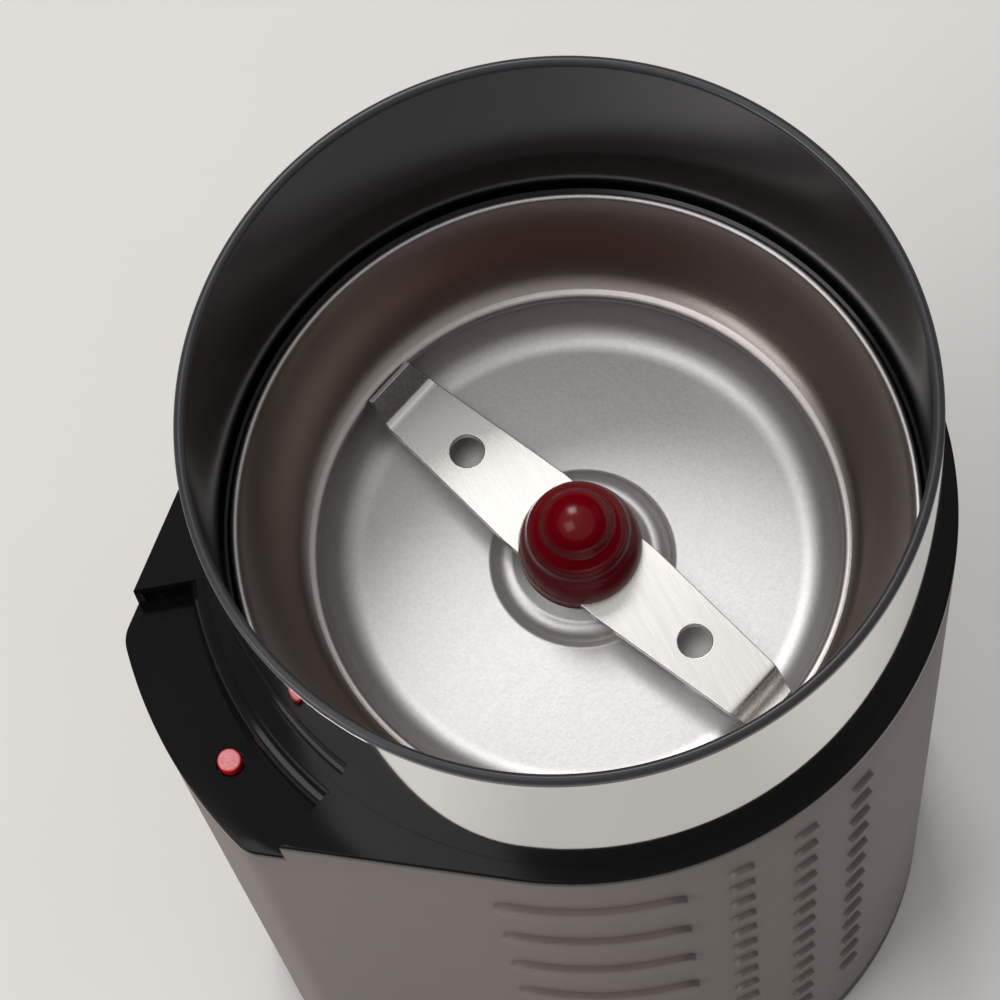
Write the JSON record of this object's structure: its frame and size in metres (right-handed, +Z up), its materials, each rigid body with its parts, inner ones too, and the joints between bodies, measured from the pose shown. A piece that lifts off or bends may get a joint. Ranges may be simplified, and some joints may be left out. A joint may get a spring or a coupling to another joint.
{
  "type": "electric spice grinder",
  "caption": "Electric blade spice grinder without its lid: steel bowl with bent-tip blade and red hub, glossy collar ring, drafted soft-touch body with switch nose.",
  "frame": {"origin": "on the axis of the bowl, at table level under the feet", "axes": "+Z up along the motor and bowl axis; the switch nose points along -X and the cord outlet along +X"},
  "size_m": [0.0936, 0.0848, 0.1621],
  "materials": {
    "soft_touch": "soft-touch matte charcoal",
    "black_gloss": "glossy black, satin on the rim",
    "black_plastic": "matte black",
    "black_rubber": "matte black",
    "seal_rubber": "matte grey silicone and fibre",
    "inner_plastic": "natural glass-filled nylon",
    "pale_plastic": "natural",
    "yellow_plastic": "moulded case",
    "red_gloss": "deep red, polished",
    "red_satin": "pinkish red, satin",
    "satin_steel": "bead-blasted stainless",
    "ground_steel": "ground stainless",
    "polished_steel": "mirror-polished stainless",
    "zinc_steel": "zinc plated",
    "lamination_steel": "stacked sheet, lacquered",
    "cast_aluminium": "die cast",
    "bronze": "sintered bronze and brass",
    "copper_wire": "enamelled copper",
    "copper_bar": "bare copper",
    "carbon": "pressed carbon"
  },
  "bodies": {
    "housing": {"body_shell": "black_plastic", "grip_sleeve": "soft_touch", "cord_grommet": "black_rubber", "base_plate": "black_plastic", "base_screws": "zinc_steel", "rubber_feet": "black_rubber", "capacitor": "yellow_plastic", "terminal_block": "pale_plastic", "stator_core": "lamination_steel", "field_coils": "copper_wire", "thermal_fuse": "zinc_steel", "lower_bracket": "cast_aluminium", "lower_bearing": "bronze", "brush_holders": "bronze", "carbon_brushes": "carbon", "brush_springs": "zinc_steel", "motor_bolts": "zinc_steel", "rubber_washers": "black_rubber", "chassis": "inner_plastic", "chassis_screws": "zinc_steel", "upper_bearing": "bronze", "bowl_gasket": "seal_rubber", "grinding_bowl": "satin_steel", "shaft_seal": "seal_rubber", "collar": "black_gloss", "steel_band": "polished_steel", "pin_spring": "zinc_steel", "micro_switch": "black_plastic", "switch_bracket": "inner_plastic"},
    "rotor": {"motor_shaft": "ground_steel", "armature_core": "lamination_steel", "armature_windings": "copper_wire", "commutator": "copper_bar", "cooling_fan": "inner_plastic", "lower_thrust_washer": "seal_rubber", "upper_thrust_washer": "seal_rubber", "blade": "ground_steel", "hub_cap": "red_gloss"},
    "push_pin": {"switch_pin": "red_satin"},
    "plunger": {"switch_plunger": "pale_plastic"}
  },
  "joints": [
    {"name": "rotor_spin", "type": "hinge", "parent": "housing", "child": "rotor", "pos_m": [0, 0, 0.06], "axis": [0, 0, 1], "continuous": true},
    {"name": "pin_press", "type": "slide", "parent": "housing", "child": "push_pin", "axis": [0, 0, -1], "range_m": [0, 0.002], "stiffness_N_per_m": 400, "springref_m": -0.002, "deforming": ["pin_spring"]},
    {"name": "plunger_press", "type": "slide", "parent": "housing", "child": "plunger", "axis": [0, 0, -1], "range_m": [0, 0.002], "stiffness_N_per_m": 150, "springref_m": -0.001}
  ],
  "couplings": [
    {"joint": "plunger_press", "follows": "pin_press", "ratio": 1}
  ]
}
